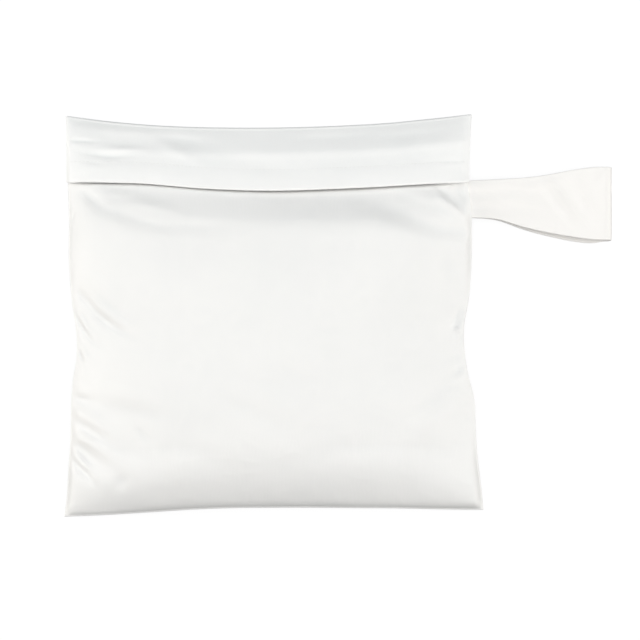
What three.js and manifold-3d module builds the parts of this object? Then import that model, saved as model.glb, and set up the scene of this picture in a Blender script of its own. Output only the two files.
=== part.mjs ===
// A cloth wet bag lying on its back: a waterproof pouch with a fold-over flap,
// and a loop of strap sewn into its right side seam.
// Millimetres, +Z up. The bag lies in the XY plane with its mouth towards +Y and its front facing up.
// The origin is on the surface that the bag lies on, under the middle of the pouch.
//
// Both panels and the flap are described on one sheet of coordinates:
//   across  runs from 0 at the left side seam to 1 at the right side seam,
//   up      runs from 0 at the bottom seam to 1 at the top edge.
import * as THREE from "three";
import { mergeVertices } from "three/addons/utils/BufferGeometryUtils.js";
import Module from "manifold-3d";

// Driving dimensions
const pouchWidth = 300; // between the two bottom corners
const pouchHeight = 288; // from the bottom left corner to the top corners
const pouchDepth = 38; // from the table to the crown of the front panel
const clothThickness = 1.2;
const sewingGap = 0.3; // between two pieces that are sewn or lie together
const seamEdge = 0.6; // what shows of one layer of cloth at the edge of a seam

const seamHeight = 10; // of the seams above the table, at the middle of each side
const seamRoll = 30; // how far in from a seam the back panel curls up from the table
const bottomRoll = 52; // how far in from the bottom seam the front panel reaches its full height

const mouthSetback = 20; // from the top edge down to the front panel's hem
const mouthGap = 6; // clear height of the mouth, between the two panels
const hemDepth = 14; // cloth turned in at the mouth and at the flap's lower edge
const hemStep = 1.5; // over which a hem reaches its double thickness

const flapDepth = 48.5; // from the top edge down to the flap's lower edge, at the side seams
const flapLift = 4.8; // clear height under the flap's hem, where it stands highest
const flapOverhang = 1; // how far the flap stands out past each side seam
const flapFoldRadius = 2.8; // outer radius of the fold along the top edge
const flapBackDepth = 9; // from the top edge down to the seam between flap and back panel

const strapLength = 100; // from the side seam to the end of the loop
const strapRootWidth = 25.4;
const strapEndWidth = 51;
const strapLoopHeight = 10.5; // over both layers at the end of the loop
const strapTail = 10; // sewn in, inside the side seam
const strapDrop = 60.5; // from the top right corner down to the middle of the strap
const strapLayerGap = 0.3; // between the two layers where they are sewn in
const strapBulge = 2.6; // how far each panel stands off the seam to let the strap out
const strapClearance = 0.4; // around the strap in its slot

// Outline of the pouch. left and right are how far each side seam is pulled in, as a share of pouchWidth.
const sides = [
  { up: 0.0, left: 0.0, right: 0.0 },
  { up: 0.05, left: 0.007, right: 0.005 },
  { up: 0.12, left: 0.012, right: 0.014 },
  { up: 0.2, left: 0.018, right: 0.02 },
  { up: 0.28, left: 0.02, right: 0.024 },
  { up: 0.34, left: 0.024, right: 0.038 },
  { up: 0.4, left: 0.033, right: 0.047 },
  { up: 0.46, left: 0.032, right: 0.048 },
  { up: 0.54, left: 0.021, right: 0.036 },
  { up: 0.64, left: 0.014, right: 0.03 },
  { up: 0.74, left: 0.014, right: 0.03 },
  { up: 0.83, left: 0.011, right: 0.039 },
  { up: 0.92, left: 0.011, right: 0.037 },
  { up: 1.0, left: 0.009, right: 0.033 },
];

// top and bottom are how far those edges are pulled in, as a share of pouchHeight.
const ends = [
  { across: 0.0, top: 0.004, bottom: 0.0 },
  { across: 0.1, top: 0.016, bottom: 0.006 },
  { across: 0.2, top: 0.025, bottom: 0.013 },
  { across: 0.3, top: 0.03, bottom: 0.02 },
  { across: 0.4, top: 0.032, bottom: 0.024 },
  { across: 0.5, top: 0.032, bottom: 0.025 },
  { across: 0.6, top: 0.03, bottom: 0.025 },
  { across: 0.7, top: 0.026, bottom: 0.024 },
  { across: 0.8, top: 0.02, bottom: 0.023 },
  { across: 0.9, top: 0.01, bottom: 0.02 },
  { across: 1.0, top: 0.0, bottom: 0.017 },
];

// The front panel's height along the bag's middle, as a share of its rise from the mouth to the crown.
const swell = [
  { up: 0.0, height: 0.5 },
  { up: 0.08, height: 0.74 },
  { up: 0.18, height: 0.91 },
  { up: 0.3, height: 1.0 },
  { up: 0.4, height: 0.98 },
  { up: 0.5, height: 0.88 },
  { up: 0.6, height: 0.7 },
  { up: 0.7, height: 0.46 },
  { up: 0.78, height: 0.22 },
  { up: 0.85, height: 0.05 },
  { up: 0.93, height: 0.0 },
  { up: 1.0, height: 0.0 },
];

// The side seams' height above the table, as a share of seamHeight.
const seamRise = [
  { up: 0.0, height: 0.35 },
  { up: 0.12, height: 0.75 },
  { up: 0.3, height: 1.0 },
  { up: 0.6, height: 0.95 },
  { up: 0.8, height: 0.75 },
  { up: 1.0, height: 0.5 },
];

// The flap's depth as a share of flapDepth, and its lift off the front panel as a share of flapLift.
const flapEdge = [
  { across: 0.0, depth: 1.0, lift: 0.0 },
  { across: 0.1, depth: 0.935, lift: 0.62 },
  { across: 0.2, depth: 0.887, lift: 0.95 },
  { across: 0.35, depth: 0.916, lift: 1.0 },
  { across: 0.5, depth: 0.938, lift: 1.0 },
  { across: 0.65, depth: 0.935, lift: 0.95 },
  { across: 0.8, depth: 0.943, lift: 0.75 },
  { across: 0.9, depth: 0.968, lift: 0.42 },
  { across: 1.0, depth: 1.0, lift: 0.0 },
];

// The strap's two edges, as shares of the way from the root's width to the end's width,
// how far the lower layer shows past the upper one, as a share of strapEndWidth,
// and the height of each layer's middle as a share of its way from the seam to the end of the loop.
const strapShape = [
  { along: 0.0, high: 0.0, low: 0.0, under: 0.0, upper: 0.0, lower: 0.0 },
  { along: 0.2, high: 0.1, low: 0.075, under: 0.008, upper: 0.12, lower: 0.5 },
  { along: 0.4, high: 0.21, low: 0.43, under: 0.03, upper: 0.3, lower: 0.9 },
  { along: 0.55, high: 0.39, low: 0.64, under: 0.05, upper: 0.5, lower: 1.0 },
  { along: 0.75, high: 0.76, low: 0.86, under: 0.07, upper: 0.82, lower: 1.0 },
  { along: 0.9, high: 0.97, low: 0.98, under: 0.06, upper: 1.0, lower: 1.0 },
  { along: 1.0, high: 1.0, low: 1.0, under: 0.02, upper: 1.0, lower: 1.0 },
];
const strapEndAbove = 0.45; // share of the end's width that lies above the root's middle line

// Folds in the front panel. across and up place the middle of each, turn is its direction in degrees from +X,
// long and wide are half sizes as shares of pouchWidth, deep is a share of pouchDepth (a valley is above 0)
// and crest is the ridge beside the valley, as a share of deep.
const frontFolds = [
  { across: 0.03, up: 0.475, turn: -57, long: 0.055, wide: 0.014, deep: 0.07, crest: 0.6 },
  { across: 0.09, up: 0.5, turn: -45, long: 0.06, wide: 0.022, deep: 0.06, crest: 0.5 },
  { across: 0.05, up: 0.3, turn: -8, long: 0.05, wide: 0.02, deep: 0.05, crest: 0.4 },
  { across: 0.05, up: 0.215, turn: -20, long: 0.055, wide: 0.016, deep: 0.06, crest: 0.5 },
  { across: 0.045, up: 0.165, turn: -43, long: 0.05, wide: 0.016, deep: 0.075, crest: 0.6 },
  { across: 0.03, up: 0.115, turn: -52, long: 0.045, wide: 0.014, deep: 0.085, crest: 0.5 },
  { across: 0.13, up: 0.04, turn: 82, long: 0.06, wide: 0.022, deep: 0.09, crest: 0.4 },
  { across: 0.44, up: 0.24, turn: -32, long: 0.14, wide: 0.035, deep: 0.06, crest: 0.6 },
  { across: 0.52, up: 0.34, turn: 0, long: 0.2, wide: 0.04, deep: 0.05, crest: 0.3 },
  { across: 0.9, up: 0.73, turn: -27, long: 0.1, wide: 0.03, deep: 0.08, crest: 0.7 },
  { across: 0.95, up: 0.775, turn: -38, long: 0.055, wide: 0.016, deep: 0.05, crest: 0.5 },
  { across: 0.97, up: 0.5, turn: 60, long: 0.06, wide: 0.024, deep: 0.09, crest: 0.4 },
  { across: 0.85, up: 0.24, turn: 24, long: 0.17, wide: 0.05, deep: 0.05, crest: 0.8 },
  { across: 0.12, up: 0.74, turn: -28, long: 0.08, wide: 0.03, deep: 0.05, crest: 0.5 },
];

// Folds in the flap, in the same columns.
const flapFolds = [
  { across: 0.12, up: 0.9, turn: -4, long: 0.07, wide: 0.014, deep: 0.035, crest: 0.8 },
  { across: 0.3, up: 0.915, turn: -30, long: 0.06, wide: 0.02, deep: 0.025, crest: 0.5 },
  { across: 0.03, up: 0.94, turn: -6, long: 0.05, wide: 0.012, deep: 0.025, crest: 0.5 },
];

// Numbers of steps in the meshes
const acrossSteps = 36;
const frontSteps = 26;
const backAcrossSteps = 26;
const backSteps = 18;
const leafSteps = 8;
const foldSteps = 5;
const strapSteps = 14;
const strapBendSteps = 6;
const strapWidthSteps = 5;
const edgeCrowding = 0.6; // 0 spaces the steps evenly, 1 as the cosine of a half turn

const wasm = await Module();
wasm.setup();

// Helpers

// Column `column` of a table at place x of column `by`, on a smooth curve through the rows.
function read(table, by, column, x) {
  const last = table.length - 1;
  let i = 0;
  while (i < last - 1 && x > table[i + 1][by]) i++;
  const [a, b] = [table[i], table[i + 1]];
  const before = table[Math.max(i - 1, 0)];
  const after = table[Math.min(i + 2, last)];
  const span = b[by] - a[by];
  const t = THREE.MathUtils.clamp((x - a[by]) / span, 0, 1);
  const slopeA = ((b[column] - before[column]) / (b[by] - before[by])) * span;
  const slopeB = ((after[column] - a[column]) / (after[by] - a[by])) * span;
  const rise = b[column] - a[column];
  return a[column] + t * (slopeA + t * (3 * rise - 2 * slopeA - slopeB + t * (slopeA + slopeB - 2 * rise)));
}

// Steps from 0 to 1 that lie closer together at both ends.
function crowded(steps) {
  return Array.from({ length: steps + 1 }, (_, i) =>
    THREE.MathUtils.lerp(i / steps, (1 - Math.cos((Math.PI * i) / steps)) / 2, edgeCrowding),
  );
}

// A closed body between two grids of points, outer[i][k] and inner[i][k].
function sheetGeometry(outer, inner) {
  const rows = outer.length;
  const columns = outer[0].length;
  const points = [...outer.flat(), ...inner.flat()];
  const index = [];
  const outerAt = (i, k) => i * columns + k;
  const innerAt = (i, k) => rows * columns + i * columns + k;
  const quad = (a, b, c, d) => index.push(a, b, c, a, c, d);
  for (let i = 0; i < rows - 1; i++) {
    for (let k = 0; k < columns - 1; k++) {
      quad(outerAt(i, k), outerAt(i + 1, k), outerAt(i + 1, k + 1), outerAt(i, k + 1));
      quad(innerAt(i, k), innerAt(i, k + 1), innerAt(i + 1, k + 1), innerAt(i + 1, k));
    }
  }
  const lastRow = rows - 1;
  const end = columns - 1;
  for (let i = 0; i < lastRow; i++) {
    quad(outerAt(i, 0), innerAt(i, 0), innerAt(i + 1, 0), outerAt(i + 1, 0));
    quad(outerAt(i, end), outerAt(i + 1, end), innerAt(i + 1, end), innerAt(i, end));
  }
  for (let k = 0; k < end; k++) {
    quad(outerAt(0, k), outerAt(0, k + 1), innerAt(0, k + 1), innerAt(0, k));
    quad(outerAt(lastRow, k), innerAt(lastRow, k), innerAt(lastRow, k + 1), outerAt(lastRow, k + 1));
  }
  const geometry = new THREE.BufferGeometry().setFromPoints(points);
  geometry.setIndex(index);
  return geometry;
}

// A geometry as a manifold-3d solid, and back.
function toSolid(geometry) {
  const bare = new THREE.BufferGeometry().setAttribute("position", geometry.getAttribute("position"));
  bare.setIndex(geometry.getIndex());
  const merged = mergeVertices(bare);
  return new wasm.Manifold(
    new wasm.Mesh({
      numProp: 3,
      vertProperties: merged.getAttribute("position").array,
      triVerts: new Uint32Array(merged.getIndex().array),
    }),
  );
}

function toGeometry(solid) {
  const mesh = solid.getMesh();
  const geometry = new THREE.BufferGeometry();
  geometry.setAttribute("position", new THREE.BufferAttribute(mesh.vertProperties, 3));
  geometry.setIndex(new THREE.BufferAttribute(mesh.triVerts, 1));
  return geometry;
}

// The outline

const topEdge = (across) => pouchHeight * (0.5 - read(ends, "across", "top", across));
const bottomEdge = (across) => pouchHeight * (read(ends, "across", "bottom", across) - 0.5);
const leftEdge = (up) => pouchWidth * (read(sides, "up", "left", up) - 0.5);
const rightEdge = (up) => pouchWidth * (0.5 - read(sides, "up", "right", up));
const widthAt = (up) => rightEdge(up) - leftEdge(up);
const heightAt = (across) => topEdge(across) - bottomEdge(across);
const xAt = (across, up) => leftEdge(up) + across * widthAt(up);
const yAt = (across, up) => bottomEdge(across) + up * heightAt(across);
const pointAt = (across, up, z) => new THREE.Vector3(xAt(across, up), yAt(across, up), z);
const upAt = (across, y) => (y - bottomEdge(across)) / heightAt(across);
const upBelow = (across, down) => 1 - down / heightAt(across); // down is measured from the top edge

// Heights

const easeIn = (distance, reach) => 1 - (1 - Math.min(distance / reach, 1)) ** 2;
const fadeOut = (distance, reach) => 1 - THREE.MathUtils.smoothstep(distance, 0, reach);

// The seam's height, carried smoothly across the bag between its edges. The bottom corners lie low.
function seamLevel(across, up) {
  const cornerRise = 1 - Math.abs(2 * across - 1) ** 4;
  const bottomShare = (1 - seamRise[0].height) * cornerRise * fadeOut(up, bottomRoll / pouchHeight);
  return seamHeight * (read(seamRise, "up", "height", up) + bottomShare);
}

// How far a fold table moves the cloth up or down at a point.
function folded(table, across, up) {
  const x = xAt(across, up);
  const y = yAt(across, up);
  let move = 0;
  for (const fold of table) {
    const turn = THREE.MathUtils.degToRad(fold.turn);
    const dx = x - xAt(fold.across, fold.up);
    const dy = y - yAt(fold.across, fold.up);
    const along = (dx * Math.cos(turn) + dy * Math.sin(turn)) / (fold.long * pouchWidth);
    const aside = (dy * Math.cos(turn) - dx * Math.sin(turn)) / (fold.wide * pouchWidth);
    const valley = Math.exp(-(aside ** 2));
    const ridge = fold.crest * Math.exp(-((aside - 1.6) ** 2));
    move += fold.deep * pouchDepth * (ridge - valley) * Math.exp(-(along ** 4));
  }
  return move;
}

const strapY = pouchHeight / 2 - strapDrop;
const strapUp = upAt(1, strapY);
const strapLevel = seamLevel(1, strapUp);

// Each panel stands off the seam around the strap's root.
function strapRoom(across, up) {
  const aside = (yAt(across, up) - strapY) / (strapRootWidth * 0.62);
  const inward = (rightEdge(up) - xAt(across, up)) / strapTail;
  return strapBulge * Math.exp(-(aside ** 6) - inward ** 2);
}

// The mouth stands open by mouthGap between the back panel and the front panel's double hem.
const mouthTop = 3 * clothThickness + mouthGap;

// Height of the front panel's outer face.
function frontHeight(across, up, folds = true) {
  const seam = seamLevel(across, up);
  const middle = mouthTop + (pouchDepth - mouthTop) * read(swell, "up", "height", up);
  const fromMiddle = Math.abs(2 * across - 1);
  const flatness = THREE.MathUtils.lerp(2.4, 9, THREE.MathUtils.smoothstep(up, 0.45, 0.85));
  const round = (1 - fromMiddle ** flatness) ** 0.8;
  const bottom = (1 - (1 - Math.min((up * pouchHeight) / bottomRoll, 1)) ** 2.4) ** 0.62;
  const atEdge = Math.min(1, 14 * Math.min(across, 1 - across), 14 * up);
  const creases = folds ? folded(frontFolds, across, up) * atEdge * fadeOut(up - 0.8, 0.1) : 0;
  const rise = (middle - seam - seamEdge) * round * bottom + creases;
  return seam + sewingGap / 2 + seamEdge + Math.max(rise, 0) + strapRoom(across, up);
}

// Height of the back panel's outer face, which lies on the table away from the seams.
function backHeight(across, up) {
  const fromSide = Math.min(across, 1 - across) * widthAt(up);
  const lying = easeIn(fromSide, seamRoll) * easeIn(up * pouchHeight, seamRoll);
  const seam = seamLevel(across, up) - sewingGap / 2 - seamEdge;
  return Math.max(seam * (1 - lying) - strapRoom(across, up), 0);
}

// How much taller than its thickness a sloping wall stands, from a height function's slope.
function slopeFactor(height, across, up) {
  const step = 0.004;
  const dx = (height(across + step, up) - height(across - step, up)) / (2 * step * pouchWidth);
  const dy = (height(across, up + step) - height(across, up - step)) / (2 * step * pouchHeight);
  return Math.min(Math.hypot(1, dx, dy), 1.7);
}

const inside = (x) => THREE.MathUtils.clamp(x, 0.004, 0.996);
const hemShare = (distance) => THREE.MathUtils.smoothstep(hemDepth + hemStep - distance, 0, hemStep);

// The pieces

// Front panel: from the bottom seam up to its double hem at the mouth.
function frontPanel() {
  const outer = [];
  const inner = [];
  for (const across of crowded(acrossSteps)) {
    const mouthUp = upBelow(across, mouthSetback);
    const hemDowns = [hemDepth + hemStep, hemDepth, hemDepth / 2, 0].map((down) => mouthSetback + down);
    const hemUps = hemDowns.map((down) => upBelow(across, down));
    const ups = [...crowded(frontSteps).map((t) => t * (hemUps[0] - 0.012)), ...hemUps];
    const top = ups.map((up) => pointAt(across, up, frontHeight(across, up)));
    outer.push(top);
    inner.push(
      top.map((point, k) => {
        const up = ups[k];
        const layers = 1 + hemShare((mouthUp - up) * heightAt(across));
        const wall = layers * clothThickness * slopeFactor(frontHeight, inside(across), inside(up));
        const floor = seamLevel(across, up) + sewingGap / 2;
        return new THREE.Vector3(point.x, point.y, Math.max(point.z - wall, floor));
      }),
    );
  }
  return sheetGeometry(outer, inner);
}

// Back panel: from the bottom seam up to the seam that joins it to the flap.
function backPanel() {
  const outer = [];
  const inner = [];
  for (const across of crowded(backAcrossSteps)) {
    const ups = crowded(backSteps).map((t) => t * upBelow(across, flapBackDepth + sewingGap));
    const under = ups.map((up) => pointAt(across, up, backHeight(across, up)));
    inner.push(under);
    outer.push(
      under.map((point, k) => {
        const up = ups[k];
        const wall = clothThickness * slopeFactor(backHeight, inside(across), inside(up));
        const ceiling = seamLevel(across, up) - sewingGap / 2;
        return new THREE.Vector3(point.x, point.y, Math.min(point.z + wall, ceiling));
      }),
    );
  }
  return sheetGeometry(outer, inner);
}

// Flap: a leaf over the mouth, a fold along the top edge, and a short leaf down to the back panel.
function flap() {
  const outer = [];
  const inner = [];
  for (const across of crowded(acrossSteps)) {
    const depth = flapDepth * read(flapEdge, "across", "depth", across);
    const lift = sewingGap + flapLift * read(flapEdge, "across", "lift", across);
    const seamTop = seamLevel(across, 1);
    const fromSide = Math.min(across, 1 - across) * pouchWidth;
    const open = easeIn(fromSide, seamRoll);
    const tight = clothThickness + sewingGap / 2;
    const radius = THREE.MathUtils.lerp(tight, flapFoldRadius, open);
    const centre = THREE.MathUtils.lerp(seamTop, flapFoldRadius, open);
    const hemLayer = Math.min(clothThickness, lift - sewingGap);
    const place = (down, z) => {
      const up = upBelow(across, down);
      const x = leftEdge(up) - flapOverhang + across * (widthAt(up) + 2 * flapOverhang);
      return new THREE.Vector3(x, topEdge(across) - down, z);
    };
    // Underside of the leaf, above the front panel or, past its hem, down to the fold.
    const leafUnder = (down) => {
      const up = upBelow(across, down);
      const hemUp = upBelow(across, Math.max(down, mouthSetback));
      const over = frontHeight(across, hemUp, false) + lift + hemLayer;
      const toFold = THREE.MathUtils.smoothstep(down, radius, mouthSetback);
      const free = THREE.MathUtils.lerp(centre + radius - clothThickness, over, toFold);
      const atEdge = Math.min(1, 14 * Math.min(across, 1 - across));
      return free + folded(flapFolds, across, up) * atEdge * toFold;
    };
    const hemDowns = [0, hemDepth / 2, hemDepth, hemDepth + hemStep].map((d) => depth - d);
    const leafDowns = [
      ...hemDowns,
      ...Array.from({ length: leafSteps }, (_, i) =>
        THREE.MathUtils.lerp(hemDowns[3], radius, (i + 1) / leafSteps),
      ),
    ];
    const over = [];
    const under = [];
    for (const down of leafDowns) {
      const z = leafUnder(down);
      const hem = hemShare(depth - down) * hemLayer;
      over.push(place(down, z + clothThickness));
      under.push(place(down, z - hem));
    }
    for (let i = 1; i <= foldSteps; i++) {
      const angle = Math.PI * (0.5 - i / (foldSteps + 1));
      const [c, s] = [Math.cos(angle), Math.sin(angle)];
      over.push(place(radius - radius * c, centre + radius * s));
      under.push(place(radius - (radius - clothThickness) * c, centre + (radius - clothThickness) * s));
    }
    for (const down of [radius, (radius + flapBackDepth) / 2, flapBackDepth]) {
      over.push(place(down, centre - radius));
      under.push(place(down, centre - radius + clothThickness));
    }
    outer.push(over);
    inner.push(under);
  }
  return sheetGeometry(outer, inner);
}

// Strap loop: two layers from the side seam, joined by a bend at the far end.
function strapLoop() {
  const half = clothThickness / 2;
  const rootX = rightEdge(strapUp);
  const midHeight = strapLoopHeight / 2;
  const bendRadius = midHeight - half;
  const endX = rootX + strapLength - midHeight;
  const straight = endX - rootX;
  const stacked = (strapLayerGap + clothThickness) / 2;
  const endAbove = strapEndWidth * strapEndAbove;
  const endBelow = strapEndWidth - endAbove;
  const high = (along) => THREE.MathUtils.lerp(strapRootWidth / 2, endAbove, shape("high", along));
  const low = (along) => THREE.MathUtils.lerp(strapRootWidth / 2, endBelow, shape("low", along));
  const under = (along) => strapEndWidth * shape("under", along);
  // Stations along the middle of the cloth: place, direction out of the loop, and the two edges.
  const stations = [];
  const add = (x, z, outX, outZ, along, below) =>
    stations.push({ x, z, outX, outZ, top: strapY + high(along), bottom: strapY - low(along) - below });
  const shape = (column, along) => read(strapShape, "along", column, along);
  const upperZ = (along) =>
    THREE.MathUtils.lerp(strapLevel + stacked, strapLoopHeight - half, shape("upper", along));
  const lowerZ = (along) =>
    Math.max(THREE.MathUtils.lerp(strapLevel - stacked, half, shape("lower", along)), half);
  const slope = (height, along) => (height(along + 0.01) - height(along - 0.01)) / (0.02 * straight);
  add(rootX - strapTail, upperZ(0), 0, 1, 0, 0);
  for (let i = 0; i <= strapSteps; i++) {
    const along = i / strapSteps;
    const tilt = along > 0 && along < 1 ? -Math.atan(slope(upperZ, along)) : 0;
    add(rootX + along * straight, upperZ(along), Math.sin(tilt), Math.cos(tilt), along, 0);
  }
  for (let i = 1; i < strapBendSteps; i++) {
    const angle = Math.PI * (0.5 - i / strapBendSteps);
    const [c, s] = [Math.cos(angle), Math.sin(angle)];
    const below = (under(1) * i) / strapBendSteps;
    add(endX + bendRadius * c, midHeight + bendRadius * s, c, s, 1, below);
  }
  for (let i = strapSteps; i >= 0; i--) {
    const along = i / strapSteps;
    const tilt = along > 0 && along < 1 ? -Math.atan(slope(lowerZ, along)) : 0;
    add(rootX + along * straight, lowerZ(along), -Math.sin(tilt), -Math.cos(tilt), along, under(along));
  }
  add(rootX - strapTail, lowerZ(0), 0, -1, 0, 0);
  const layer = (offset) =>
    stations.map(({ x, z, outX, outZ, top, bottom }) =>
      Array.from({ length: strapWidthSteps + 1 }, (_, k) => {
        const y = THREE.MathUtils.lerp(bottom, top, k / strapWidthSteps);
        return new THREE.Vector3(x + outX * offset, y, z + outZ * offset);
      }),
    );
  return sheetGeometry(layer(half), layer(-half));
}

// What is cut from the seams to let the strap out: a plain block around both layers of its root.
function strapSlot() {
  const tall = 2 * clothThickness + strapLayerGap + 2 * strapClearance;
  const wide = strapRootWidth + 2 * strapClearance;
  const block = new THREE.BoxGeometry(2 * (strapTail + strapClearance), wide, tall);
  block.translate(rightEdge(strapUp), strapY, strapLevel);
  block.deleteAttribute("normal");
  block.deleteAttribute("uv");
  return toSolid(block);
}

// The bag

function cloth(name) {
  return new THREE.MeshStandardMaterial({ name, color: 0xf4f5f2, roughness: 0.62, metalness: 0 });
}

const slot = strapSlot();
const bag = new THREE.Group();

function addPiece(name, geometry) {
  geometry.computeVertexNormals();
  const piece = new THREE.Mesh(geometry, cloth(name));
  piece.name = name;
  bag.add(piece);
}

addPiece("front_panel", toGeometry(toSolid(frontPanel()).subtract(slot)));
addPiece("back_panel", toGeometry(toSolid(backPanel()).subtract(slot)));
addPiece("flap", flap());
addPiece("strap_loop", strapLoop());

export default bag;
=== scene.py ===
# A cloth wet bag lying flat, seen from straight above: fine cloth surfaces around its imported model.
# Each surface is worked out from two shares: across (0 at the left side seam, 1 at the right one)
# and up (0 at the bottom seam, 1 at the top edge). Lengths are in metres.
import bpy
import numpy as np
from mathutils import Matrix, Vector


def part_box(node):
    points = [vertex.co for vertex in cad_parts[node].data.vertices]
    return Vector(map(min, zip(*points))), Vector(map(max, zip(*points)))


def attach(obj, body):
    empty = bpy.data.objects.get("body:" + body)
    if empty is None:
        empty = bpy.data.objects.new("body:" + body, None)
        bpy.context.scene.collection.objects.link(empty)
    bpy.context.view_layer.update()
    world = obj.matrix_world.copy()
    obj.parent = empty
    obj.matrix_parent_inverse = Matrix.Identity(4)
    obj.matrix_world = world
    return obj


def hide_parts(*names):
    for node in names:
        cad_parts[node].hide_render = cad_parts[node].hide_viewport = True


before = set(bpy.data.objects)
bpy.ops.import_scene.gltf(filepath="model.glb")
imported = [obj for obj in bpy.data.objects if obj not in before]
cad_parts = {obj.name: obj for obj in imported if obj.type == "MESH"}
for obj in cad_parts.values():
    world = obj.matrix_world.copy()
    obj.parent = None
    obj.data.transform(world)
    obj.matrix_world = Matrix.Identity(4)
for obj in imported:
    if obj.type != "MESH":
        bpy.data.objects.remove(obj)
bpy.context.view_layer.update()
mm = 0.001
print("frame loaded")

frontLow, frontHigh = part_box("front_panel")
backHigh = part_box("back_panel")[1]
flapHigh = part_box("flap")[1]
strapLow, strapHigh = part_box("strap_loop")

# Camera

cameraView = {
    "lens": 85,
    "sensor": 36,
    "frameWidth": 455 * mm,  # what the image's width takes in, at the height of the seams
    "aimX": 33.0 * mm,
    "aimY": -3.2 * mm,
    "aimZ": 12 * mm,
    "pixels": 640,
}
cameraView["distance"] = cameraView["lens"] / cameraView["sensor"] * cameraView["frameWidth"]


# The point of the frame under a pixel of the photograph, for cloth at this height in mm: the pixel's
# distance from the picture's middle, times the size of a pixel, which shrinks nearer to the camera.
def seenAt(pictureX, pictureY, height):
    nearer = 1 - (height * mm - cameraView["aimZ"]) / cameraView["distance"]
    pixel = cameraView["frameWidth"] / cameraView["pixels"] * nearer
    middle = cameraView["pixels"] / 2
    return cameraView["aimX"] + (pictureX - middle) * pixel, cameraView["aimY"] - (pictureY - middle) * pixel


def addObject(name, data):
    added = bpy.data.objects.new(name, data)
    bpy.context.scene.collection.objects.link(added)
    return added


def addCamera():
    camera = bpy.data.cameras.new("camera")
    camera.lens = cameraView["lens"]
    camera.clip_start, camera.clip_end = 0.01, 50
    holder = addObject("camera", camera)
    holder.location = (cameraView["aimX"], cameraView["aimY"], cameraView["aimZ"] + cameraView["distance"])
    bpy.context.scene.camera = holder


addCamera()

# Measures of the whole bag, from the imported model's boxes

pouch = {
    "left": frontLow.x,
    "width": frontHigh.x - frontLow.x,
    "bottom": frontLow.y,
    "height": flapHigh.y - frontLow.y,
    "crown": frontHigh.z - 0.9 * mm,  # of the front panel without its folds
    "cloth": 1.0 * mm,
    "solidCloth": 1.2 * mm,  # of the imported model
    "seamHeight": backHigh.z,
    "seamRoll": 30 * mm,  # how far in from a seam the back panel curls up
    "bottomRoll": 52 * mm,  # how far in from the bottom seam the front panel is at its full height
    "lip": 0.9 * mm,  # radius of the turned edge at a seam
    "lipSteps": 6,
    "lipTuck": 0.02 * mm,  # between the lining's rows inside a turned edge
    "mouthSetback": flapHigh.y - frontHigh.y,
    "mouthGap": 6 * mm,
    "hem": 14 * mm,
    "hemStep": 0.6 * mm,  # half the width of the step from one layer to two
    "backEnd": flapHigh.y - backHigh.y,
    "flapDepth": 48.5 * mm,
}

# Outline: how far each edge is pulled in, as a share of the width or height
sideShape = {
    "up": [0, 0.05, 0.12, 0.2, 0.28, 0.34, 0.4, 0.46, 0.54, 0.64, 0.74, 0.83, 0.92, 1],
    "left": [0, 0.007, 0.012, 0.018, 0.02, 0.024, 0.033, 0.032, 0.021, 0.014, 0.014, 0.011, 0.011, 0.009],
    "right": [0, 0.005, 0.014, 0.02, 0.024, 0.038, 0.047, 0.048, 0.036, 0.03, 0.03, 0.039, 0.037, 0.033],
}
endShape = {
    "across": [0, 0.1, 0.2, 0.3, 0.4, 0.5, 0.6, 0.7, 0.8, 0.9, 1],
    "top": [0.004, 0.016, 0.025, 0.03, 0.032, 0.032, 0.03, 0.026, 0.02, 0.01, 0],
    "bottom": [0, 0.006, 0.013, 0.02, 0.024, 0.025, 0.025, 0.024, 0.023, 0.02, 0.017],
}
# Heights of the front panel between mouth and crown, and of the side seams, as shares
swellShape = {
    "up": [0, 0.08, 0.18, 0.3, 0.4, 0.5, 0.6, 0.7, 0.74, 0.78, 0.82, 0.86, 0.93, 1],
    "height": [0.5, 0.74, 0.91, 1, 0.98, 0.92, 0.83, 0.69, 0.6, 0.43, 0.24, 0.12, 0.09, 0.09],
}
seamShape = {
    "up": [0, 0.12, 0.3, 0.6, 0.8, 1],
    "height": [0.35, 0.75, 1, 0.95, 0.75, 0.5],
}
# The flap: its depth, and how far it stands off the front panel, as shares of the values at its piece
flapShape = {
    "across": [0, 0.04, 0.1, 0.2, 0.35, 0.5, 0.65, 0.8, 0.9, 1],
    "depth": [0.985, 0.95, 0.912, 0.876, 0.91, 0.936, 0.935, 0.943, 0.968, 1],
    "lift": [0, 0.8, 1, 1, 1, 1, 1, 1, 0.8, 0],
}


# A smooth curve through a table's rows: on each span a cubic, whose slope at a row is that of its neighbours.
def readTable(table, along, column, places):
    x, y = np.array(table[along], float), np.array(table[column], float)
    slope = np.empty_like(y)
    slope[1:-1] = (y[2:] - y[:-2]) / (x[2:] - x[:-2])
    slope[0] = (y[1] - y[0]) / (x[1] - x[0])
    slope[-1] = (y[-1] - y[-2]) / (x[-1] - x[-2])
    i = np.clip(np.searchsorted(x, places, side="right") - 1, 0, len(x) - 2)
    span = x[i + 1] - x[i]
    t = np.clip((places - x[i]) / span, 0, 1)
    rise, a, b = y[i + 1] - y[i], slope[i] * span, slope[i + 1] * span
    return y[i] + t * (a + t * (3 * rise - 2 * a - b + t * (a + b - 2 * rise)))


# 0 below low, 1 above high, and 3t^2 - 2t^3 between.
def smoothStep(value, low, high):
    t = np.clip((value - low) / (high - low), 0, 1)
    return t * t * (3 - 2 * t)


# The larger of two values, with the corner where they cross rounded off over about the given room.
def softMaximum(a, b, room):
    return (a + b + np.sqrt((a - b) ** 2 + room**2)) / 2


# 1 - (1 - t)^2: steep at the edge and level at reach.
def easeIn(distance, reach):
    return 1 - (1 - np.clip(distance / reach, 0, 1)) ** 2


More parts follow.
